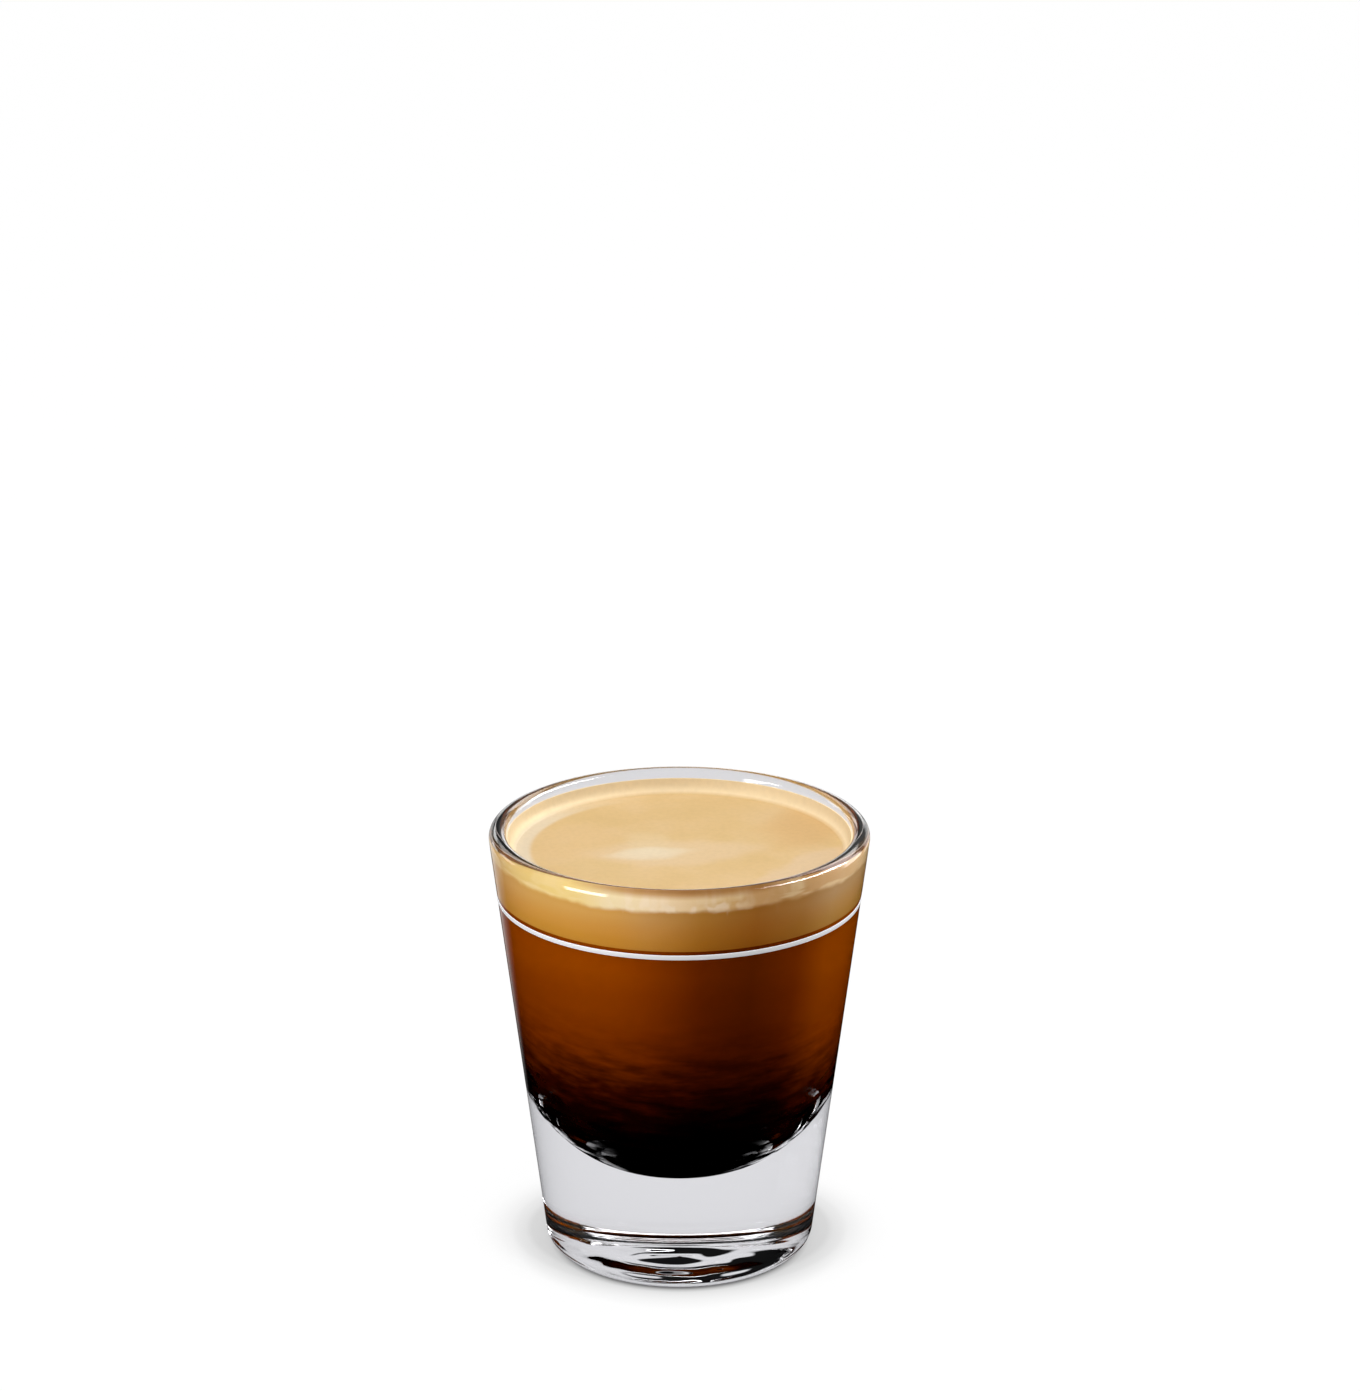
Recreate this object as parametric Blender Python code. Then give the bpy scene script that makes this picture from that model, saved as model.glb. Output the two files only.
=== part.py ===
"""An espresso glass with a thick base and a white fill line, filled with espresso under its crema.

Metres, +Z up. The origin is the centre of the base, on the surface that the glass stands on.
Every piece is turned round the Z axis from half of its outline, which is a list of (radius, height).
"""

import math

import bpy
from mathutils import Vector

# Outside of the glass
GLASS_HEIGHT = 0.060
FOOT_RADIUS = 0.01797  # of the straight side, carried down to the floor
SIDE_LEAN = 0.128  # how far the side leans out for each metre of height
LIP_RADIUS = 0.00115
HEEL_RADIUS = 0.0028
RESTING_RING_RADIUS = 0.0125  # inner edge of the flat ring that the glass rests on
PUNT_DEPTH = 0.0010  # the shallow hollow pressed into the underside

# Inside of the glass: a leaning wall that runs into a deep round bowl
MOUTH_RADIUS = 0.02316  # of the inner wall, carried up to the rim
WALL_LEAN = 0.150
BOWL_TOP = 0.0345
BOWL_BOTTOM = 0.01335

# The drink
ESPRESSO_LEVEL = 0.0510
CREMA_LEVEL = 0.0568
EDGE_LEVEL = 0.0588  # how far up the wall the crema's edge clings
EDGE_THICKNESS = 0.0009  # at its foot
EDGE_TIP_THICKNESS = 0.0004
CREMA_EDGE_RADIUS = 0.0004  # rounding of the crema's top edge

# The white fill line fired on the outside
LINE_HEIGHT = 0.0507  # of its middle
LINE_WIDTH = 0.00085
LINE_THICKNESS = 0.00035

GAP = 0.0003  # between neighbouring pieces
TURN_STEPS = 64
BOWL_STEPS = 12
LIP_STEPS = 5
HEEL_STEPS = 5
PUNT_STEPS = 5
EDGE_STEPS = 5

# Colours as the photograph's light shows them, linear
GLASS_COLOUR = (0.95, 0.97, 0.98, 1.0)
ESPRESSO_COLOUR = (0.080, 0.022, 0.003, 1.0)
CREMA_COLOUR = (0.660, 0.410, 0.185, 1.0)
CREMA_EDGE_COLOUR = (0.800, 0.620, 0.350, 1.0)
ENAMEL_COLOUR = (0.850, 0.850, 0.870, 1.0)


def clear_the_scene():
    """Removes whatever the open file holds, so that the model stands alone."""
    for thing in list(bpy.data.objects):
        bpy.data.objects.remove(thing)


def material(name, colour, roughness, transmission=0.0, ior=1.45):
    """A Principled material in one colour."""
    finish = bpy.data.materials.new(name)
    finish.use_nodes = True
    shader = finish.node_tree.nodes["Principled BSDF"]
    shader.inputs["Base Color"].default_value = colour
    shader.inputs["Roughness"].default_value = roughness
    shader.inputs["Metallic"].default_value = 0.0
    shader.inputs["Transmission Weight"].default_value = transmission
    shader.inputs["IOR"].default_value = ior
    finish.diffuse_color = colour
    return finish


def outer_radius(height):
    """Radius of the glass's straight outer side at a height."""
    return FOOT_RADIUS + SIDE_LEAN * height


def wall_radius(height):
    """Radius of the straight inner wall at a height, above the bowl."""
    return MOUTH_RADIUS - WALL_LEAN * (GLASS_HEIGHT - height)


def bowl_outline(inset=0.0):
    """The bowl from its lowest point up to where it runs into the straight wall, moved inwards by inset."""
    points = []
    for step in range(BOWL_STEPS + 1):
        angle = math.radians(90.0 * (1 - step / BOWL_STEPS))
        height = BOWL_TOP - (BOWL_TOP - BOWL_BOTTOM - inset) * math.sin(angle)
        points.append(((wall_radius(height) - inset) * math.cos(angle), height))
    points[0] = (0.0, BOWL_BOTTOM + inset)
    return points


def rounded_corner(before, corner, after, radius, steps):
    """An arc of the given radius in place of an outline's corner, tangent to the lines on both sides."""
    corner = Vector(corner)
    towards_before = (Vector(before) - corner).normalized()
    towards_after = (Vector(after) - corner).normalized()
    half_angle = towards_before.angle(towards_after) / 2
    start = corner + towards_before * radius / math.tan(half_angle)
    end = corner + towards_after * radius / math.tan(half_angle)
    centre = corner + (towards_before + towards_after).normalized() * radius / math.sin(half_angle)
    first = math.atan2(start.y - centre.y, start.x - centre.x)
    last = math.atan2(end.y - centre.y, end.x - centre.x)
    sweep = (last - first + math.pi) % (2 * math.pi) - math.pi
    angles = [first + sweep * step / steps for step in range(steps + 1)]
    return [
        (centre.x + radius * math.cos(angle), centre.y + radius * math.sin(angle)) for angle in angles
    ]


def turned(name, outline, finish, closed=False):
    """A solid turned round Z. The outline runs down its outer side, and starts and ends on the axis,
    or comes back to its first point where closed is set."""
    mesh = bpy.data.meshes.new(name)
    edges = [(i, i + 1) for i in range(len(outline) - 1)]
    if closed:
        edges.append((len(outline) - 1, 0))
    mesh.from_pydata([(radius, 0.0, height) for radius, height in outline], edges, [])
    piece = bpy.data.objects.new(name, mesh)
    bpy.context.scene.collection.objects.link(piece)
    screw = piece.modifiers.new("Turn", "SCREW")
    screw.axis = "Z"
    screw.angle = 2 * math.pi
    screw.screw_offset = 0.0
    screw.steps = TURN_STEPS
    screw.render_steps = TURN_STEPS
    screw.use_merge_vertices = True
    screw.merge_threshold = 0.000001
    screw.use_smooth_shade = True
    mesh.materials.append(finish)
    return piece


def glass():
    """The pressed glass in one piece: bowl and wall inside, rounded lip, leaning side, round heel, punt."""
    finish = material("clear_glass", GLASS_COLOUR, 0.02, transmission=1.0, ior=1.51)
    mouth = (wall_radius(GLASS_HEIGHT), GLASS_HEIGHT)
    brim = (outer_radius(GLASS_HEIGHT), GLASS_HEIGHT)
    foot = (outer_radius(0.0), 0.0)
    ring = (RESTING_RING_RADIUS, 0.0)
    bowl = bowl_outline()
    inner_lip = rounded_corner(bowl[-1], mouth, brim, LIP_RADIUS, LIP_STEPS)
    outer_lip = rounded_corner(mouth, brim, foot, LIP_RADIUS, LIP_STEPS)
    heel = rounded_corner(brim, foot, ring, HEEL_RADIUS, HEEL_STEPS)
    punt = [
        (RESTING_RING_RADIUS * (1 - step / PUNT_STEPS), PUNT_DEPTH * (1 - (1 - step / PUNT_STEPS) ** 2))
        for step in range(PUNT_STEPS + 1)
    ]
    return turned("glass", bowl + inner_lip + outer_lip + heel + punt, finish)


def espresso():
    """The dark coffee, which fills the bowl and the wall up to the crema."""
    finish = material("espresso", ESPRESSO_COLOUR, 0.35)
    rim = (wall_radius(ESPRESSO_LEVEL) - GAP, ESPRESSO_LEVEL - GAP / 2)
    side = list(reversed(bowl_outline(GAP)))
    return turned("espresso", [(0.0, rim[1]), rim] + side, finish)


def crema():
    """The layer of fine foam that floats on the coffee."""
    finish = material("crema", CREMA_COLOUR, 0.6)
    foot_height = ESPRESSO_LEVEL + GAP / 2
    centre = (0.0, CREMA_LEVEL)
    top = (wall_radius(CREMA_LEVEL) - GAP, CREMA_LEVEL)
    foot = (wall_radius(foot_height) - GAP, foot_height)
    shoulder = rounded_corner(centre, top, foot, CREMA_EDGE_RADIUS, EDGE_STEPS)
    return turned("crema", [centre] + shoulder + [foot, (0.0, foot_height)], finish)


def crema_edge():
    """The ring of foam that clings to the glass wall above the crema, thin at its top."""
    finish = material("crema_edge", CREMA_EDGE_COLOUR, 0.55)
    foot_height = CREMA_LEVEL + GAP
    tip = wall_radius(EDGE_LEVEL) - GAP
    heel = wall_radius(foot_height) - GAP
    inner_side = []
    for step in range(EDGE_STEPS + 1):
        share = step / EDGE_STEPS
        height = foot_height + (EDGE_LEVEL - foot_height) * share
        thickness = EDGE_TIP_THICKNESS + (EDGE_THICKNESS - EDGE_TIP_THICKNESS) * (1 - share) ** 2
        inner_side.append((wall_radius(height) - GAP - thickness, height))
    outline = [(tip, EDGE_LEVEL), (heel, foot_height)] + inner_side
    return turned("crema_edge", outline, finish, closed=True)


def fill_line():
    """The white line fired on the outside of the glass, which shows how far to fill it."""
    finish = material("white_enamel", ENAMEL_COLOUR, 0.3)
    top = LINE_HEIGHT + LINE_WIDTH / 2
    foot = LINE_HEIGHT - LINE_WIDTH / 2
    outline = [
        (outer_radius(top) + GAP + LINE_THICKNESS, top),
        (outer_radius(foot) + GAP + LINE_THICKNESS, foot),
        (outer_radius(foot) + GAP, foot),
        (outer_radius(top) + GAP, top),
    ]
    return turned("fill_line", outline, finish, closed=True)


clear_the_scene()
glass()
espresso()
crema()
crema_edge()
fill_line()
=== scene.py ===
"""An espresso in a pressed glass with a thick base and a white fill line.

Every piece is round and stands on the origin, +Z up, in metres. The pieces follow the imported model's sizes,
which are read from the frame, and the sections come in the order in which the drink is put together.
"""

import math

import bpy
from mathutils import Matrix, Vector, noise


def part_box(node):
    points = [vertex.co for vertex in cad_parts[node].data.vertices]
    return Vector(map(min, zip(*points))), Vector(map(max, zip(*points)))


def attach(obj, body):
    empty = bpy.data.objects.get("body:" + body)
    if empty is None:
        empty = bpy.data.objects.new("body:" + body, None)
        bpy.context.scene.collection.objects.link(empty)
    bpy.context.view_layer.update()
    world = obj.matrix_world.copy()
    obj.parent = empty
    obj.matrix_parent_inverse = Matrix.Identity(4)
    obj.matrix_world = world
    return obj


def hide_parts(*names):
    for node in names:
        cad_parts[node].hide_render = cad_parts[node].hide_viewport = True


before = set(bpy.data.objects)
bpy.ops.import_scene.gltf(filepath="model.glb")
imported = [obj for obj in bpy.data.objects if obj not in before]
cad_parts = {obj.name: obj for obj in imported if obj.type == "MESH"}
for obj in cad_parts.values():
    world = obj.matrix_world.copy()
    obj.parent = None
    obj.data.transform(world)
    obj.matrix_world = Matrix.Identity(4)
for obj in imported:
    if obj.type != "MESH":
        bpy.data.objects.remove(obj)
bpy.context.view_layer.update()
MM = 0.001


# The glass
# A thick-based shot glass for espresso, pressed from soda-lime glass in one piece with a deep round bowl. The
# plunger leaves the bowl and the wall smooth, a flame rounds the lip, and the mould leaves a punt below.
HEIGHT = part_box("glass")[1].z
FOOT_RADIUS = 17.97 * MM
SIDE_LEAN = 0.128
LIP_OUTER_RADIUS = 1.2 * MM
LIP_INNER_RADIUS = 1.05 * MM
HEEL_RADIUS = 2.8 * MM
MOUTH_RADIUS = 23.31 * MM
WALL_LEAN = 0.180
BOWL_TOP = 34.1 * MM
BOWL_BOTTOM = 13.75 * MM
BOWL_DROP = 1.12
BOWL_FULLNESS = 0.725
RESTING_RING_RADIUS = 12.5 * MM
PUNT_DEPTH = 1.0 * MM
PUNT_FLATNESS = 4
RIPPLE_SPACING = 6.4 * MM
RIPPLE_HEIGHT = 0.19 * MM
RIPPLE_DRIFT = 1.6
RIPPLE_DRIFT_SIZE = 7.0 * MM
RIPPLE_FADE = 2.0 * MM
DIMPLE_SIZE = 2.6 * MM
DIMPLE_HEIGHT = 0.07 * MM
DIMPLE_LAYER = 9.0 * MM
TURN_STEPS = 240
BOWL_STEPS = 48
WALL_STEPS = 24
LIP_STEPS = 14
SIDE_STEPS = 40
HEEL_STEPS = 16
PUNT_STEPS = 60
SHARP_CORNER = 40
ON_AXIS = 1e-7


def outer_radius(height):
    """Radius of the glass's straight outer side."""
    return FOOT_RADIUS + SIDE_LEAN * height


def wall_radius(height):
    """Radius of the glass's inner wall, carried straight down past the bowl."""
    return MOUTH_RADIUS - WALL_LEAN * (HEIGHT - height)


def inside_outline(top, into_wall=0.0):
    """The glass's inside from the bowl's lowest point up to a height, moved into the glass by into_wall."""
    points = []
    for step in range(BOWL_STEPS + 1):
        angle = math.radians(90.0 * (1 - step / BOWL_STEPS))
        height = BOWL_TOP - (BOWL_TOP - BOWL_BOTTOM + into_wall) * math.sin(angle) ** BOWL_DROP
        width = max(0.0, math.cos(angle)) ** BOWL_FULLNESS
        points.append(((wall_radius(height) + into_wall) * width, height))
    points[0] = (0.0, BOWL_BOTTOM - into_wall)
    for step in range(1, WALL_STEPS + 1):
        height = BOWL_TOP + (top - BOWL_TOP) * step / WALL_STEPS
        points.append((wall_radius(height) + into_wall, height))
    return points


def rounded_corner(before, corner, after, radius, steps):
    """An arc in place of an outline's corner, tangent to the lines on both sides."""
    corner = Vector(corner)
    back = (Vector(before) - corner).normalized()
    ahead = (Vector(after) - corner).normalized()
    half_angle = back.angle(ahead) / 2
    start = corner + back * radius / math.tan(half_angle)
    end = corner + ahead * radius / math.tan(half_angle)
    centre = corner + (back + ahead).normalized() * radius / math.sin(half_angle)
    first = math.atan2(start.y - centre.y, start.x - centre.x)
    last = math.atan2(end.y - centre.y, end.x - centre.x)
    sweep = (last - first + math.pi) % (2 * math.pi) - math.pi
    angles = [first + sweep * step / steps for step in range(steps + 1)]
    return [(centre.x + radius * math.cos(a), centre.y + radius * math.sin(a)) for a in angles]


def turned(name, outline, closed=False, relief=None):
    """A piece turned round Z. The outline runs down its outer side, from axis to axis or back to its first
    point where closed is set. relief moves a point of it: (radius, height, angle) in, the same out."""
    columns = [2 * math.pi * step / TURN_STEPS for step in range(TURN_STEPS)]
    vertices = []
    rings = []
    for radius, height in outline:
        if radius < ON_AXIS:
            rings.append([len(vertices)])
            vertices.append((0.0, 0.0, height))
            continue
        ring = []
        for angle in columns:
            r, z = relief(radius, height, angle) if relief else (radius, height)
            ring.append(len(vertices))
            vertices.append((r * math.cos(angle), r * math.sin(angle), z))
        rings.append(ring)
    faces = []
    pairs = list(zip(rings, rings[1:]))
    if closed:
        pairs.append((rings[-1], rings[0]))
    for upper, lower in pairs:
        for step in range(TURN_STEPS):
            after = (step + 1) % TURN_STEPS
            if len(upper) == 1:
                faces.append((upper[0], lower[step], lower[after]))
            elif len(lower) == 1:
                faces.append((upper[step], lower[0], upper[after]))
            else:
                faces.append((upper[step], lower[step], lower[after], upper[after]))
    mesh = bpy.data.meshes.new(name)
    mesh.from_pydata(vertices, [], faces)
    mesh.shade_smooth()
    mesh.set_sharp_from_angle(angle=math.radians(SHARP_CORNER))
    piece = bpy.data.objects.new(name, mesh)
    bpy.context.scene.collection.objects.link(piece)
    return piece


def colour(hex_value):
    """An sRGB hex colour as linear RGBA."""
    parts = [int(hex_value[i : i + 2], 16) / 255 for i in (1, 3, 5)]
    linear = [c / 12.92 if c <= 0.04045 else ((c + 0.055) / 1.055) ** 2.4 for c in parts]
    return (*linear, 1.0)


def new_material(name):
    """An empty node material: its tree and its output node."""
    finish = bpy.data.materials.new(name)
    finish.use_nodes = True
    finish.node_tree.nodes.clear()
    return finish, finish.node_tree, finish.node_tree.nodes.new("ShaderNodeOutputMaterial")


def add(tree, kind, inputs=None, settings=None):
    """Adds a node. inputs gives each socket a node's output or a value, settings the node's own choices."""
    made = tree.nodes.new(kind)
    for key, value in (settings or {}).items():
        setattr(made, key, value)
    for key, value in (inputs or {}).items():
        if isinstance(value, bpy.types.NodeSocket):
            tree.links.new(value, made.inputs[key])
        else:
            made.inputs[key].default_value = value
    return made


# The glass's grey tint is painted shade: it darkens all that is seen through it.
GLASS_SHADE_TINT = "#DFDFE3"
SHADOW_TINT = "#F4F4F7"
GLASS_IOR = 1.51
MOULD_WAVE_SIZE = 8.3 * MM
MOULD_WAVE_HEIGHT = 0.3 * MM
MOULD_WAVE_STRENGTH = 0.012


def soda_lime_glass():
    """Pressed soda-lime glass: nearly colourless, but for a grey tint of painted shade that darkens all that
    is seen through it, with the faint waves that a mould leaves, which bend a little what is seen through it.
    Its second shader lets lamps through, because their light can't find its way along bent rays."""
    finish, tree, out = new_material("soda_lime_glass_pressed")
    place = add(tree, "ShaderNodeTexCoord").outputs["Object"]
    waves = add(tree, "ShaderNodeTexNoise", {"Vector": place, "Scale": 1 / MOULD_WAVE_SIZE, "Detail": 1.0})
    bump = add(
        tree,
        "ShaderNodeBump",
        {"Height": waves.outputs["Fac"], "Strength": MOULD_WAVE_STRENGTH, "Distance": MOULD_WAVE_HEIGHT},
    )
    body = add(
        tree,
        "ShaderNodeBsdfPrincipled",
        {
            "Base Color": colour(GLASS_SHADE_TINT),
            "Roughness": 0.0,
            "IOR": GLASS_IOR,
            "Transmission Weight": 1.0,
            "Normal": bump.outputs["Normal"],
        },
    )
    clear = add(tree, "ShaderNodeBsdfTransparent", {"Color": colour(SHADOW_TINT)})
    path = add(tree, "ShaderNodeLightPath")
    shadow = path.outputs["Is Shadow Ray"]
    mix = add(tree, "ShaderNodeMixShader", {0: shadow, 1: body.outputs[0], 2: clear.outputs[0]})
    tree.links.new(mix.outputs[0], out.inputs["Surface"])
    return finish


def glass_outline():
    """From the bowl's lowest point up the wall, over the lip, down the side and in to the punt's middle."""
    mouth = (wall_radius(HEIGHT), HEIGHT)
    brim = (outer_radius(HEIGHT), HEIGHT)
    foot = (outer_radius(0.0), 0.0)
    outline = inside_outline(HEIGHT - 2 * LIP_INNER_RADIUS)
    outline += rounded_corner(outline[-1], mouth, brim, LIP_INNER_RADIUS, LIP_STEPS)
    outline += rounded_corner(mouth, brim, foot, LIP_OUTER_RADIUS, LIP_STEPS)
    high = HEIGHT - 3 * LIP_OUTER_RADIUS
    low = 1.5 * HEEL_RADIUS
    for step in range(SIDE_STEPS + 1):
        height = high + (low - high) * step / SIDE_STEPS
        outline.append((outer_radius(height), height))
    outline += rounded_corner(brim, foot, (RESTING_RING_RADIUS, 0.0), HEEL_RADIUS, HEEL_STEPS)
    for step in range(PUNT_STEPS + 1):
        share = 1 - step / PUNT_STEPS
        outline.append((RESTING_RING_RADIUS * share, PUNT_DEPTH * (1 - share**PUNT_FLATNESS)))
    return outline


def rippled_underside(radius, height, angle):
    """The punt's waves: rings about the middle that the cooling glass pushed about, with small dimples. They
    fade out towards the ring that the glass rests on."""
    if height > PUNT_DEPTH or radius > RESTING_RING_RADIUS:
        return radius, height
    x = radius * math.cos(angle)
    y = radius * math.sin(angle)
    drift = noise.noise(Vector((x, y, 0.0)) / RIPPLE_DRIFT_SIZE) * RIPPLE_DRIFT
    dimples = noise.noise(Vector((x, y, DIMPLE_LAYER)) / DIMPLE_SIZE) * DIMPLE_HEIGHT
    wave = RIPPLE_HEIGHT * math.cos(2 * math.pi * radius / RIPPLE_SPACING + drift)
    edge = min(1.0, (RESTING_RING_RADIUS - radius) / RIPPLE_FADE)
    return radius, max(0.0, height + (wave + dimples) * edge)


glass = turned("glass_body", glass_outline(), relief=rippled_underside)
glass.data.materials.append(soda_lime_glass())
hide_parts("glass")
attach(glass, "root")


# The espresso
# The dark coffee fills the bowl. Its top is painted lighter, partly for the fine foam still rising in it and
# partly as painted light where light gets through, and it turns black towards the bottom. It wets the glass,
# so it reaches just into the wall.
INTO_WALL = 0.03 * MM
ESPRESSO_LEVEL = 51.0 * MM
COFFEE_BLACK_LEVEL = 13.0 * MM


def way_round(tree):
    """The place, its height, and its way round the glass from 0 to 1: from the back over the left, the front
    (0.5) and the right."""
    place = add(tree, "ShaderNodeTexCoord").outputs["Object"]
    parts = add(tree, "ShaderNodeSeparateXYZ", {"Vector": place})
    back = add(tree, "ShaderNodeMath", {0: parts.outputs["Y"], 1: -1.0}, {"operation": "MULTIPLY"})
    angle = add(tree, "ShaderNodeMath", {0: parts.outputs["X"], 1: back.outputs[0]}, {"operation": "ARCTAN2"})
    turn = {"Value": angle.outputs[0], "From Min": -math.pi, "From Max": math.pi}
    share = add(tree, "ShaderNodeMapRange", turn)
    return place, parts.outputs["Z"], share.outputs["Result"]


def ramp_of(tree, source, stops):
    """A colour ramp through (place, hex colour) stops."""
    ramp = add(tree, "ShaderNodeValToRGB", {"Fac": source})
    elements = ramp.color_ramp.elements
    elements.remove(elements[1])
    elements[0].position = stops[0][0]
    elements[0].color = colour(stops[0][1])
    for at, tone in stops[1:]:
        elements.new(at).color = colour(tone)
    return ramp.outputs["Color"]


def height_ramp(tree, height, low, high, stops):
    """A colour ramp over a range of heights."""
    share = add(tree, "ShaderNodeMapRange", {"Value": height, "From Min": low, "From Max": high})
    return ramp_of(tree, share.outputs["Result"], stops)


def blended(tree, kind, amount, first, second):
    """Two colours, blended."""
    settings = {"data_type": "RGBA", "blend_type": kind}
    return add(tree, "ShaderNodeMix", {0: amount, 6: first, 7: second}, settings).outputs[2]


def product(tree, first, second):
    """Two numbers, multiplied."""
    return add(tree, "ShaderNodeMath", {0: first, 1: second}, {"operation": "MULTIPLY"}).outputs[0]


def ranged(tree, value, low, high, to_low=0.0, to_high=1.0, kind="SMOOTHSTEP"):
    """A value brought from one range to another, and held at its ends."""
    ends = {"Value": value, "From Min": low, "From Max": high, "To Min": to_low, "To Max": to_high}
    return add(tree, "ShaderNodeMapRange", ends, {"interpolation_type": kind}).outputs["Result"]


def squashed(tree, place, factors):
    """The place with its axes scaled, so that a pattern made from it gets flatter or longer."""
    return add(tree, "ShaderNodeVectorMath", {0: place, 1: factors}, {"operation": "MULTIPLY"}).outputs[0]


WATER_IOR = 1.33
WET_MIRROR_COLOUR = (0.9, 0.9, 0.9, 1.0)
WET_MIRROR_ROUGHNESS = 0.02
FACING_MIRROR = 0.03


def wet_against_glass(tree, body, cover):
    """Liquid has a lower IOR than the glass that it wets, so at a shallow angle the glass mirrors at it.
    cover is how much of that mirror shows, between 0 and 1."""
    shine = {"Roughness": WET_MIRROR_ROUGHNESS, "Color": WET_MIRROR_COLOUR}
    mirror = add(tree, "ShaderNodeBsdfGlossy", shine)
    graze = add(tree, "ShaderNodeFresnel", {"IOR": WATER_IOR / GLASS_IOR})
    amount = ranged(tree, graze.outputs[0], FACING_MIRROR, 1.0, 0.0, cover, "LINEAR")
    mix = add(tree, "ShaderNodeMixShader", {0: amount, 1: body, 2: mirror.outputs[0]})
    return mix.outputs[0]


# The coffee's painted light by height, from COFFEE_BLACK_LEVEL up to its top.
DEPTH_TONES = (
    (0.20, "#000000"),
    (0.263, "#100000"),
    (0.342, "#2C1313"),
    (0.42, "#593B3B"),
    (0.50, "#8D7676"),
    (0.579, "#B9A3A3"),
    (0.658, "#D3C1C1"),
    (0.737, "#E6DADA"),
    (0.816, "#EEE4E4"),
    (0.895, "#FFFFFF"),
)
# Its painted light and shade on its way round: lighter at the front left, where the left lamp falls, darkest
# right of the front, and lighter again towards the right.
COFFEE_SHADE_TONES = (
    (0.0, "#843B00"),
    (0.32, "#863B00"),
    (0.40, "#8C3F00"),
    (0.44, "#883C00"),
    (0.47, "#7F3500"),
    (0.52, "#642400"),
    (0.57, "#581F00"),
    (0.62, "#6A2800"),
    (0.66, "#843B00"),
    (1.0, "#843B00"),
)
# Painted light: towards the sides and the back the coffee's lit colour reaches deeper: from where to where on
# the way round, and how much.
SIDE_LIGHTS = (
    (0.40, 0.31, 1.6 * MM),
    (0.60, 0.68, 3.2 * MM),
    (0.25, 0.03, 0.8 * MM),
    (0.75, 0.97, -0.8 * MM),
)
# Where the bowl's glass mirrors past the coffee: at the sides and behind, and not in front.
GLINT_STOPS = (
    (0.0, "#FFFFFF"),
    (0.30, "#FFFFFF"),
    (0.40, "#000000"),
    (0.60, "#000000"),
    (0.68, "#FFFFFF"),
    (1.0, "#FFFFFF"),
)
GLINT_SIZE = 3.846 * MM
STREAK_SIZE = 5.263 * MM
STREAK_SQUASH = (1.0, 1.0, 4.0)
STREAKS_START = 42.0 * MM
STREAKS_FULL = 34.0 * MM
STREAK_SWAY_LOW = 0.2 * MM
STREAK_SWAY_FULL = 2.4 * MM


def brewed_coffee():
    """Brewed coffee: red-brown where light gets through at the top, in drifting streaks about five
    millimetres long, and black in the bowl. That light, and the lighter and darker sides where the lamps
    fall, are painted into its colour."""
    finish, tree, out = new_material("brewed_coffee")
    place, height, share = way_round(tree)
    flat = squashed(tree, place, STREAK_SQUASH)
    drift = {"Vector": flat, "Scale": 1 / STREAK_SIZE, "Detail": 3.0, "Roughness": 0.6}
    streaks = add(tree, "ShaderNodeTexNoise", drift)
    sway = ranged(tree, streaks.outputs["Fac"], 0.3, 0.7, -1.0, 1.0, "LINEAR")
    reach = ranged(tree, height, STREAKS_START, STREAKS_FULL, STREAK_SWAY_LOW, STREAK_SWAY_FULL, "LINEAR")
    swayed = {0: sway, 1: reach, 2: height}
    lifted = add(tree, "ShaderNodeMath", swayed, {"operation": "MULTIPLY_ADD"}).outputs[0]
    for low, high, lift in SIDE_LIGHTS:
        side_light = ranged(tree, share, low, high, 0.0, lift)
        lifted = add(tree, "ShaderNodeMath", {0: lifted, 1: side_light}).outputs[0]
    depth = height_ramp(tree, lifted, COFFEE_BLACK_LEVEL, ESPRESSO_LEVEL, DEPTH_TONES)
    tone = blended(tree, "MULTIPLY", 1.0, depth, ramp_of(tree, share, COFFEE_SHADE_TONES))
    matt = {"Base Color": tone, "Roughness": 0.5, "Specular IOR Level": 0.0}
    body = add(tree, "ShaderNodeBsdfPrincipled", matt)
    broken = add(tree, "ShaderNodeTexNoise", {"Vector": flat, "Scale": 1 / GLINT_SIZE, "Detail": 2.0})
    glints = ranged(tree, broken.outputs["Fac"], 0.45, 0.6)
    cover = product(tree, ramp_of(tree, share, GLINT_STOPS), glints)
    tree.links.new(wet_against_glass(tree, body.outputs[0], cover), out.inputs["Surface"])
    return finish


side = list(reversed(inside_outline(ESPRESSO_LEVEL, INTO_WALL)))
espresso = turned("espresso_coffee", [(0.0, ESPRESSO_LEVEL)] + side)
espresso.data.materials.append(brewed_coffee())
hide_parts("espresso")
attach(espresso, "root")


# The crema
# Fine tan foam of coffee oils and gas that floats on the espresso, six millimetres deep. It clings to the
# glass a little above its level.
CREMA_LEVEL = 56.8 * MM
EDGE_LEVEL = 58.8 * MM
BUBBLE = 0.35 * MM
BUBBLE_HEIGHT = 0.1 * MM
BUBBLE_STRENGTH = 0.08


def bubbles(tree, place):
    """The grain of the foam's bubbles, a third of a millimetre across: a number, and a bump."""
    grain = add(tree, "ShaderNodeTexNoise", {"Vector": place, "Scale": 0.5 / BUBBLE, "Detail": 2.0})
    relief = {"Height": grain.outputs["Fac"], "Strength": BUBBLE_STRENGTH, "Distance": BUBBLE_HEIGHT}
    bump = add(tree, "ShaderNodeBump", relief)
    return grain.outputs["Fac"], bump.outputs["Normal"]


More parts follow.
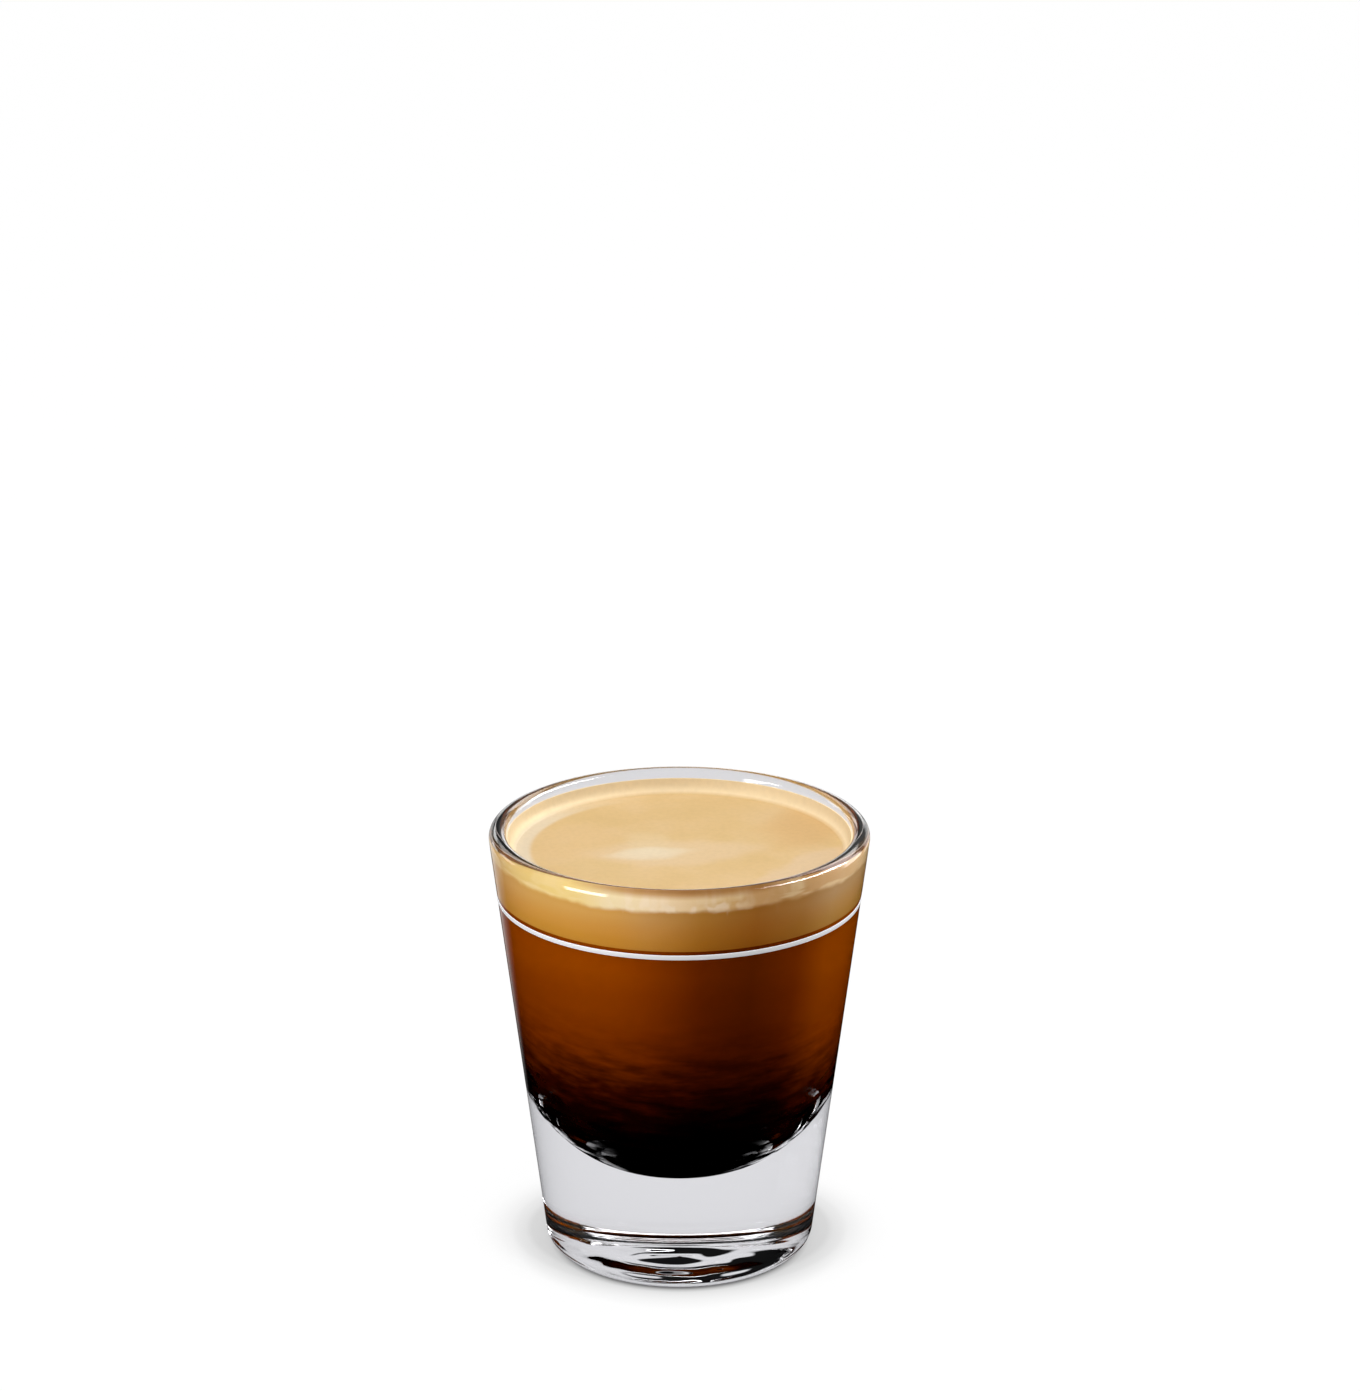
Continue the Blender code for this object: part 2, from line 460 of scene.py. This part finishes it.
def swirl(tree, place, centre, radii, turn, softness):
    """A soft oval patch on the crema, in millimetres and degrees: 1 in its middle and 0 outside."""
    oval = {
        "Vector": place,
        "Location": (centre[0] * MM, centre[1] * MM, 0.0),
        "Rotation": (0.0, 0.0, math.radians(turn)),
        "Scale": (radii[0] * MM, radii[1] * MM, 1.0),
    }
    moved = add(tree, "ShaderNodeMapping", oval, {"vector_type": "TEXTURE"})
    parts = add(tree, "ShaderNodeSeparateXYZ", {"Vector": moved.outputs[0]})
    x = parts.outputs["X"]
    y = parts.outputs["Y"]
    total = add(tree, "ShaderNodeMath", {0: y, 1: y, 2: product(tree, x, x)}, {"operation": "MULTIPLY_ADD"})
    return ranged(tree, total.outputs[0], 1.0 + softness, 1.0 - softness)


# Where the pour folded paler and darker foam in: colour, centre, radii, turn, softness and strength.
CREMA_SWIRLS = (
    ("#C6A06B", (18, 10), (5.5, 10), -20, 0.8, 0.8),
    ("#CCAB79", (-14, 2), (7, 7), 0, 0.8, 0.6),
    ("#C8AA76", (-10, -9), (6, 3), -30, 0.7, 0.6),
    ("#CDB18B", (16.8, -6.8), (2.3, 9), -40, 0.6, 0.9),
    ("#CDB188", (-1, -1.5), (12, 4.8), 6, 0.6, 0.85),
    ("#D0B98F", (-4.4, 2.2), (2.0, 4.6), 14, 0.95, 0.4),
    ("#D4C3A5", (-4.3, -1.9), (5.4, 2.3), 14, 0.98, 0.85),
)
MARBLE_TONES = ((0.35, "#C6A671"), (0.5, "#C9A975"), (0.68, "#CCAD7D"))
MARBLE_SIZE = 8.333 * MM
POUR_SIZE = 11.11 * MM
POUR_PUSH = 8.0 * MM
# The paler ring beside the glass is painted light, where the foam rises to the wall and faces the light at
# the
# left: its inner edge, its colour, and how much shows on the way round.
RING_START = 19.5 * MM
RING_FULL = 20.5 * MM
RIM_LIGHT_TONE = "#D0C3AC"
RIM_LIGHT_STOPS = (
    (0.0, "#404040"),
    (0.06, "#404040"),
    (0.16, "#E0E0E0"),
    (0.36, "#F0F0F0"),
    (0.44, "#606060"),
    (0.50, "#101010"),
    (0.90, "#101010"),
    (1.0, "#404040"),
)
# The thin film of foam that is left on the wall, painted paler to make up for the shade on its upright face.
WALL_FILM_LIT_TONE = "#E3CDA6"
WALL_FILM_FULL = 0.4 * MM


def crema_top_foam():
    """The crema from above: even tan foam with a silky shine, in folds about a centimetre wide."""
    finish, tree, out = new_material("espresso_foam_top")
    place, height, share = way_round(tree)
    pour = {"Vector": place, "Scale": 1 / POUR_SIZE, "Detail": 2.0, "Roughness": 0.5}
    drift = add(tree, "ShaderNodeTexNoise", pour).outputs["Color"]
    centred = add(tree, "ShaderNodeVectorMath", {0: drift, 1: (0.5, 0.5, 0.5)}, {"operation": "SUBTRACT"})
    push = {0: centred.outputs[0], 1: (POUR_PUSH, POUR_PUSH, 0.0), 2: place}
    pushed = add(tree, "ShaderNodeVectorMath", push, {"operation": "MULTIPLY_ADD"}).outputs[0]
    folds = {"Vector": pushed, "Scale": 1 / MARBLE_SIZE, "Detail": 4.0, "Roughness": 0.5}
    marble = add(tree, "ShaderNodeTexNoise", folds)
    tone = ramp_of(tree, marble.outputs["Fac"], MARBLE_TONES)
    for shade, centre, radii, turn, softness, strength in CREMA_SWIRLS:
        amount = product(tree, swirl(tree, pushed, centre, radii, turn, softness), strength)
        tone = blended(tree, "MIX", amount, tone, colour(shade))
    level = squashed(tree, place, (1.0, 1.0, 0.0))
    radius = add(tree, "ShaderNodeVectorMath", {0: level}, {"operation": "LENGTH"}).outputs["Value"]
    ring = product(tree, ranged(tree, radius, RING_START, RING_FULL), ramp_of(tree, share, RIM_LIGHT_STOPS))
    tone = blended(tree, "MIX", ring, tone, colour(RIM_LIGHT_TONE))
    film = ranged(tree, height, CREMA_LEVEL, CREMA_LEVEL + WALL_FILM_FULL, kind="LINEAR")
    tone = blended(tree, "MIX", film, tone, colour(WALL_FILM_LIT_TONE))
    grain, normal = bubbles(tree, place)
    light = ramp_of(tree, grain, ((0.3, "#FAFAFA"), (0.6, "#FFFFFF")))
    satin = {
        "Base Color": blended(tree, "MULTIPLY", 1.0, tone, light),
        "Roughness": 0.5,
        "Specular IOR Level": 0.3,
        "Normal": normal,
    }
    body = add(tree, "ShaderNodeBsdfPrincipled", satin)
    tree.links.new(body.outputs[0], out.inputs["Surface"])
    return finish


# The foam's painted light and shade on its way round: lit at the front left, darkest right of the front, and
# lighter again at the right; and what its height makes of it.
FOAM_SIDE_SHADE_TONES = (
    (0.0, "#C49750"),
    (0.30, "#C69858"),
    (0.36, "#CB9D53"),
    (0.40, "#CA9B51"),
    (0.44, "#C6954C"),
    (0.47, "#BE8F50"),
    (0.52, "#A87430"),
    (0.57, "#976024"),
    (0.62, "#9D703B"),
    (0.66, "#AE8B5E"),
    (1.0, "#C49750"),
)
SIDE_LEVELS = ((0.0, "#EADAA2"), (0.2, "#EFE0AC"), (0.5, "#F8EDD3"), (0.8, "#FFFFFF"))
SIDE_MIRROR = 0.85
# The film that clings above the crema: its foot, which wanders up and down, its painted light and shade on
# its way round, its paler strokes, and the lip's painted shade at its top.
FILM_START = 57.2 * MM
FILM_FULL = 58.0 * MM
FILM_WANDER = 1.6 * MM
FILM_WANDER_SIZE = 4.348 * MM
FILM_SHADE_TONES = (
    (0.0, "#D8B880"),
    (0.30, "#D4B070"),
    (0.33, "#DDBE76"),
    (0.37, "#E4C87C"),
    (0.40, "#E8CC80"),
    (0.44, "#EAD8A8"),
    (0.48, "#EED6AC"),
    (0.51, "#E6C898"),
    (0.54, "#D6AE72"),
    (0.57, "#C49A64"),
    (0.61, "#B88E58"),
    (0.66, "#CCA676"),
    (0.70, "#D8B684"),
    (1.0, "#D8B880"),
)
STROKE_TONE = "#F0DCB0"
STROKE_SIZE = 6.25 * MM
STROKE_SQUASH = (1.0, 1.0, 5.0)
STROKE_STRENGTH = 0.4
CREST_SHADE_TONES = ((0.0, "#FFFFFF"), (0.72, "#FFFFFF"), (0.84, "#D0B494"), (0.93, "#A67E58"), (1.0, "#80604A"))
# The drops and the runs of thicker foam on the film, and where on its way round they show.
DROP_TONE = "#F2E0C2"
DROP_SIZE = 1.5625 * MM
DROP_SQUASH = (1.0, 1.0, 0.75)
DROP_STRENGTH = 0.95
RUN_SIZE = 1.613 * MM
RUN_STRETCH = (1.0, 1.0, 0.15)
RUN_STRENGTH = 0.45
RUN_FOOT = 54.6 * MM
RUN_TOP = 57.6 * MM
DRIP_STOPS = (
    (0.0, "#606060"),
    (0.42, "#303030"),
    (0.46, "#C8C8C8"),
    (0.54, "#C8C8C8"),
    (0.57, "#505050"),
    (0.60, "#181818"),
    (0.64, "#303030"),
    (1.0, "#606060"),
)


def foam_against_glass():
    """Foam seen through the glass that it wets: no shine of its own, and painted light and shade that change
    on its way round as the light in the glass does. A paler film clings above the crema, and has run down in
    drips;
    the lip's painted shade darkens its top."""
    finish, tree, out = new_material("espresso_foam_side")
    place, height, share = way_round(tree)
    level = height_ramp(tree, height, ESPRESSO_LEVEL, CREMA_LEVEL, SIDE_LEVELS)
    foam = blended(tree, "MULTIPLY", 1.0, ramp_of(tree, share, FOAM_SIDE_SHADE_TONES), level)
    wander = add(tree, "ShaderNodeTexNoise", {"Vector": place, "Scale": 1 / FILM_WANDER_SIZE, "Detail": 3.0})
    sway = {0: wander.outputs["Fac"], 1: FILM_WANDER, 2: height}
    moved = add(tree, "ShaderNodeMath", sway, {"operation": "MULTIPLY_ADD"})
    rise = ranged(tree, moved.outputs[0], FILM_START, FILM_FULL)
    curl = squashed(tree, place, STROKE_SQUASH)
    strokes = add(tree, "ShaderNodeTexNoise", {"Vector": curl, "Scale": 1 / STROKE_SIZE, "Detail": 3.0})
    paler = ranged(tree, strokes.outputs["Fac"], 0.45, 0.62, 0.0, STROKE_STRENGTH)
    film = blended(tree, "MIX", paler, ramp_of(tree, share, FILM_SHADE_TONES), colour(STROKE_TONE))
    tone = blended(tree, "MIX", rise, foam, film)
    squat = squashed(tree, place, DROP_SQUASH)
    drops = add(tree, "ShaderNodeTexNoise", {"Vector": squat, "Scale": 1 / DROP_SIZE, "Detail": 1.0})
    drop = product(tree, ranged(tree, drops.outputs["Fac"], 0.48, 0.66, 0.0, DROP_STRENGTH), rise)
    upright = squashed(tree, place, RUN_STRETCH)
    runs = add(tree, "ShaderNodeTexNoise", {"Vector": upright, "Scale": 1 / RUN_SIZE, "Detail": 2.0})
    needed = ranged(tree, height, RUN_FOOT, RUN_TOP, 0.75, 0.5, "LINEAR")
    over = add(tree, "ShaderNodeMath", {0: runs.outputs["Fac"], 1: needed}, {"operation": "SUBTRACT"})
    run = ranged(tree, over.outputs[0], 0.0, 0.2, 0.0, RUN_STRENGTH)
    both = add(tree, "ShaderNodeMath", {0: drop, 1: run}, {"operation": "MAXIMUM"})
    amount = product(tree, both.outputs[0], ramp_of(tree, share, DRIP_STOPS))
    tone = blended(tree, "MIX", amount, tone, colour(DROP_TONE))
    crest = height_ramp(tree, height, CREMA_LEVEL, EDGE_LEVEL, CREST_SHADE_TONES)
    normal = bubbles(tree, place)[1]
    matt = {
        "Base Color": blended(tree, "MULTIPLY", 1.0, tone, crest),
        "Roughness": 0.55,
        "Specular IOR Level": 0.0,
        "Normal": normal,
    }
    body = add(tree, "ShaderNodeBsdfPrincipled", matt)
    tree.links.new(wet_against_glass(tree, body.outputs[0], SIDE_MIRROR), out.inputs["Surface"])
    return finish


CREMA_SIDE_STEPS = 12
CREMA_TOP_STEPS = 24
top_foam = crema_top_foam()
side_foam = foam_against_glass()
crema_outline = []
for step in range(CREMA_TOP_STEPS):
    crema_outline.append((wall_radius(CREMA_LEVEL) * step / CREMA_TOP_STEPS, CREMA_LEVEL))
for step in range(CREMA_SIDE_STEPS + 1):
    height = CREMA_LEVEL + (ESPRESSO_LEVEL - CREMA_LEVEL) * step / CREMA_SIDE_STEPS
    crema_outline.append((wall_radius(height) + INTO_WALL, height))
crema = turned("crema_foam", crema_outline + [(0.0, ESPRESSO_LEVEL)])
crema.data.materials.append(top_foam)
crema.data.materials.append(side_foam)
for face in crema.data.polygons:
    face.material_index = 1 if abs(face.normal.z) < 0.5 else 0
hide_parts("crema")
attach(crema, "root")

EDGE_STEPS = 16
EDGE_TIP = 0.12 * MM
EDGE_FLARE = 0.9 * MM
EDGE_CURVE = 4
edge_foot = CREMA_LEVEL - 0.1 * MM
edge_outline = [(wall_radius(level) + INTO_WALL, level) for level in (EDGE_LEVEL, CREMA_LEVEL)]
for step in range(EDGE_STEPS + 1):
    share = step / EDGE_STEPS
    height = edge_foot + (EDGE_LEVEL - edge_foot) * share
    thickness = EDGE_TIP + EDGE_FLARE * (1 - share) ** EDGE_CURVE
    edge_outline.append((wall_radius(height) - thickness, height))
edge = turned("crema_clinging_edge", edge_outline, closed=True)
edge.data.materials.append(top_foam)
edge.data.materials.append(side_foam)
for face in edge.data.polygons:
    middle = face.center
    outward = Vector((middle.x, middle.y, 0.0)).normalized()
    face.material_index = 1 if face.normal.dot(outward) > 0.5 else 0
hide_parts("crema_edge")
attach(edge, "root")


# The fill line
# A thin line of white enamel, printed on the finished glass and fired until it melts on.
LINE_HEIGHT = 50.7 * MM
LINE_WIDTH = 0.68 * MM
ENAMEL_THICKNESS = 0.04 * MM
ENAMEL_WHITE = "#F8F8FA"
ENAMEL_LIGHT = "#F4F4F8"
# Painted light: a faint glow keeps the line white, standing in for light from the glass behind it.
ENAMEL_PAINTED_GLOW = 0.22


def fired_enamel():
    """White fired enamel: opaque, with the soft shine of melted glass powder."""
    finish, tree, out = new_material("white_enamel_fired")
    glaze = {
        "Base Color": colour(ENAMEL_WHITE),
        "Roughness": 0.3,
        "Emission Color": colour(ENAMEL_LIGHT),
        "Emission Strength": ENAMEL_PAINTED_GLOW,
    }
    body = add(tree, "ShaderNodeBsdfPrincipled", glaze)
    tree.links.new(body.outputs[0], out.inputs["Surface"])
    return finish


# The line's section from its top to its foot: the share of its width, and of its thickness.
LINE_SECTION = ((1, -0.5), (0.96, 0.7), (0.8, 1), (0.5, 1), (0.2, 1), (0.04, 0.7), (0, -0.5))
line_outline = []
for share, lift in LINE_SECTION:
    height = LINE_HEIGHT + (share - 0.5) * LINE_WIDTH
    line_outline.append((outer_radius(height) + lift * ENAMEL_THICKNESS, height))
line = turned("fill_line_enamel", line_outline, closed=True)
line.data.materials.append(fired_enamel())
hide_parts("fill_line")
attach(line, "root")


# The table, the light and the camera
# A plain white sweep, seen from a little above the rim. A broad lamp overhead and a softbox on each side
# light the foam, and the glass mirrors bright panels that stand round it.
TABLE_HALF = 3.0
FLOOR_GREY = (0.06, 0.06, 0.06, 1.0)
FLOOR_GLOW = 0.93
GLOW_REACH = 30 * MM
# The floor's painted shadow by millimetres from the middle: the soft shade, and the dark contact shadow where
# the glass rests.
SHADE_STOPS = (
    (0.0, "#DCDCDC"),
    (20.4, "#DCDCDC"),
    (21.3, "#E6E6E6"),
    (22.6, "#EAEAEA"),
    (23.4, "#F1F1F1"),
    (24.4, "#F5F5F5"),
    (25.4, "#F9F9F9"),
    (26.8, "#FDFDFD"),
    (29.0, "#FFFFFF"),
)
CONTACT_SHADOW_STOPS = (
    (0.0, "#000000"),
    (15.6, "#000000"),
    (16.5, "#808080"),
    (17.1, "#CFCFCF"),
    (17.8, "#EDEDED"),
    (18.6, "#F2F2F2"),
    (20.0, "#F6F6F6"),
    (21.4, "#FAFAFA"),
    (23.0, "#FFFFFF"),
)
# The painted soft shadow is an oval that lies a little behind the glass.
SHADE_BEHIND = 3.0 * MM
SHADE_SHORTER = 1.17


def painted_floor_shadow(tree, place, stops):
    """The floor's painted shadow by its distance from the middle, through (millimetres, colour) stops."""
    away = add(tree, "ShaderNodeVectorMath", {0: place}, {"operation": "LENGTH"})
    share = ranged(tree, away.outputs["Value"], 0.0, GLOW_REACH, kind="LINEAR")
    return ramp_of(tree, share, [(at * MM / GLOW_REACH, tone) for at, tone in stops])


def white_paper_sweep():
    """Matt white paper. It glows by itself, so that the floor is as white as the backdrop, and a painted
    shadow darkens that glow round the glass.
    """
    finish, tree, out = new_material("white_paper_sweep")
    place = add(tree, "ShaderNodeTexCoord").outputs["Object"]
    shift = {0: place, 1: (1.0, SHADE_SHORTER, 1.0), 2: (0.0, -SHADE_BEHIND * SHADE_SHORTER, 0.0)}
    oval = add(tree, "ShaderNodeVectorMath", shift, {"operation": "MULTIPLY_ADD"})
    shade = painted_floor_shadow(tree, oval.outputs[0], SHADE_STOPS)
    contact_shadow = painted_floor_shadow(tree, place, CONTACT_SHADOW_STOPS)
    matt = {
        "Base Color": FLOOR_GREY,
        "Roughness": 0.8,
        "Specular IOR Level": 0.0,
        "Emission Color": blended(tree, "MULTIPLY", 1.0, shade, contact_shadow),
        "Emission Strength": FLOOR_GLOW,
    }
    paper = add(tree, "ShaderNodeBsdfPrincipled", matt)
    tree.links.new(paper.outputs[0], out.inputs["Surface"])
    return finish


table_mesh = bpy.data.meshes.new("table")
corners = [(x * TABLE_HALF, y * TABLE_HALF, 0.0) for x, y in ((-1, -1), (1, -1), (1, 1), (-1, 1))]
table_mesh.from_pydata(corners, [], [(0, 1, 2, 3)])
table_mesh.materials.append(white_paper_sweep())
table = bpy.data.objects.new("table", table_mesh)
bpy.context.scene.collection.objects.link(table)
table.visible_glossy = False
table.visible_diffuse = False


def softbox(name, place, aim, width, height, watts):
    """A rectangular lamp at place, turned to aim."""
    lamp = bpy.data.lights.new(name, "AREA")
    lamp.shape = "RECTANGLE"
    lamp.size = width
    lamp.size_y = height
    lamp.energy = watts
    holder = bpy.data.objects.new(name, lamp)
    holder.location = place
    holder.rotation_euler = (Vector(aim) - Vector(place)).to_track_quat("-Z", "Y").to_euler()
    bpy.context.scene.collection.objects.link(holder)
    return holder


def around(azimuth, distance, height):
    """A place at an azimuth from the camera's side, positive to the right."""
    angle = math.radians(azimuth)
    return (distance * math.sin(angle), -distance * math.cos(angle), height)


CEILING_STRENGTH = 3.1
CEILING_SPREAD = 50
CEILING_FROM = (0, -0.08, 1.0)
LAMPS_AIM = (0, 0, 0.04)
SOFTBOX_DISTANCE = 0.6
SOFTBOX_HEIGHT = 0.16
# Azimuth from the camera's side, width, height and watts.
SOFTBOXES = (
    ("left_softbox", -50, 0.30, 0.30, 2.2),
    ("right_softbox", 100, 0.20, 0.30, 2.4),
)
sky = bpy.data.lights.new("ceiling", "SUN")
sky.energy = CEILING_STRENGTH
sky.angle = math.radians(CEILING_SPREAD)
ceiling = bpy.data.objects.new("ceiling", sky)
ceiling.rotation_euler = (-Vector(CEILING_FROM)).to_track_quat("-Z", "Y").to_euler()
bpy.context.scene.collection.objects.link(ceiling)
lamps = [ceiling]
for name, side, width, height, watts in SOFTBOXES:
    place = around(side, SOFTBOX_DISTANCE, SOFTBOX_HEIGHT)
    lamps.append(softbox(name, place, LAMPS_AIM, width, height, watts))
for lamp in lamps:
    lamp.visible_glossy = False


def near(tree, value, middle, half, soft):
    """1 where a value is within half of its middle, and falling to 0 over soft on both sides."""
    offset = add(tree, "ShaderNodeMath", {0: value, 1: middle}, {"operation": "SUBTRACT"})
    away = add(tree, "ShaderNodeMath", {0: offset.outputs[0]}, {"operation": "ABSOLUTE"})
    return ranged(tree, away.outputs[0], half + soft, half)


# The panels that only reflections show, in degrees as the glass sees them: azimuth from the camera's side and
# its half width, elevation and its half height, soft edge, tilt, and strength. The first is the window at the
# left, the second the strip at the right, and the others stand behind and make the lip's bright strips.
PANELS = (
    (-57, 10, -2, 13, 6, 0.0, 14.0),
    (104, 15, 40, 7, 4, -0.97, 26.0),
    (-155, 9, -8, 12, 6, 0.0, 0.9),
    (-161, 5, 17, 3, 3, 0.0, 3.0),
    (171, 6, 8, 5, 3, 0.0, 1.0),
    (-178, 9, 4, 8, 3, 0.0, 1.6),
    (178, 9, 4, 8, 3, 0.0, 1.6),
    (-157, 10, 32, 7, 4, 0.0, 1.8),
    (142, 24, 34, 7, 4, 0.0, 3.6),
    (-150, 42, 22, 12, 6, 0.0, 0.12),
    (150, 42, 22, 12, 6, 0.0, 0.3),
    (-124, 7, 11, 5, 4, 0.0, 2.5),
    (-142, 4, 2, 3, 3, 0.0, 2.2),
    (155, 9, -2, 10, 6, 0.0, 1.2),
    (124, 8, 8, 12, 6, 0.0, 4.0),
)

# The backdrop seen through the glass turns dark above, which the underside mirrors as black streaks, but for
# a window behind at the right: azimuth, half width and soft edge.
DARK_FROM = 29.0
DARK_FULL = 34.0
DARK_LIGHT = 0.01
WINDOW = (138, 20, 5)
ROOM_LIGHT = 0.15

world = bpy.data.worlds.new("studio")
bpy.context.scene.world = world
world.use_nodes = True
tree = world.node_tree
way = add(tree, "ShaderNodeTexCoord").outputs["Generated"]
parts = add(tree, "ShaderNodeSeparateXYZ", {"Vector": way})
up = parts.outputs["Z"]
room = ranged(tree, up, 0.0, 0.3, 0.0, ROOM_LIGHT, "LINEAR")
towards = product(tree, parts.outputs["Y"], -1.0)
turn = add(tree, "ShaderNodeMath", {0: parts.outputs["X"], 1: towards}, {"operation": "ARCTAN2"})
azimuth = add(tree, "ShaderNodeMath", {0: turn.outputs[0]}, {"operation": "DEGREES"}).outputs[0]
climb = add(tree, "ShaderNodeMath", {0: up}, {"operation": "ARCSINE"})
elevation = add(tree, "ShaderNodeMath", {0: climb.outputs[0]}, {"operation": "DEGREES"}).outputs[0]
glow = 0.0
for middle, half_width, height, half_height, soft, tilt, strength in PANELS:
    across = near(tree, azimuth, middle, half_width, soft)
    slope = {0: azimuth, 1: -tilt, 2: tilt * middle}
    lean = add(tree, "ShaderNodeMath", slope, {"operation": "MULTIPLY_ADD"})
    level = add(tree, "ShaderNodeMath", {0: elevation, 1: lean.outputs[0]})
    lit = product(tree, across, near(tree, level.outputs[0], height, half_height, soft))
    summed = {0: lit, 1: strength, 2: glow}
    glow = add(tree, "ShaderNodeMath", summed, {"operation": "MULTIPLY_ADD"}).outputs[0]
above = ranged(tree, elevation, DARK_FROM, DARK_FULL, kind="LINEAR")
window = near(tree, azimuth, *WINDOW)
dark = add(tree, "ShaderNodeMath", {0: above, 1: window}, {"operation": "SUBTRACT"})
backdrop = ranged(tree, dark.outputs[0], 0.0, 1.0, 1.0, DARK_LIGHT, "LINEAR")
path = add(tree, "ShaderNodeLightPath").outputs
plain = {"data_type": "FLOAT"}
mirrored = add(tree, "ShaderNodeMix", {0: path["Is Glossy Ray"], 2: room, 3: glow}, plain)
seen = add(
    tree,
    "ShaderNodeMath",
    {0: path["Is Camera Ray"], 1: path["Is Transmission Ray"]},
    {"operation": "MAXIMUM"},
)
light = add(tree, "ShaderNodeMix", {0: seen.outputs[0], 2: mirrored.outputs[0], 3: backdrop}, plain)
background = tree.nodes["Background"].inputs
tree.links.new(light.outputs[0], background["Strength"])
background["Color"].default_value = (1, 1, 1, 1)

# The photograph's view, fitted to the glass's outline.
SENSOR_WIDTH = 36
LENS = 4500 / 1391 * SENSOR_WIDTH
CAMERA_PLACE = (0.00008, -0.5663, 0.2637)
CAMERA_DOWN = 18.12
camera = bpy.data.objects.new("camera", bpy.data.cameras.new("camera"))
camera.data.sensor_width = SENSOR_WIDTH
camera.data.lens = LENS
camera.data.clip_start = 0.01
camera.location = CAMERA_PLACE
camera.rotation_euler = (math.radians(90 - CAMERA_DOWN), 0, 0)
bpy.context.scene.collection.objects.link(camera)
bpy.context.scene.camera = camera
bpy.context.scene.view_settings.view_transform = "Standard"
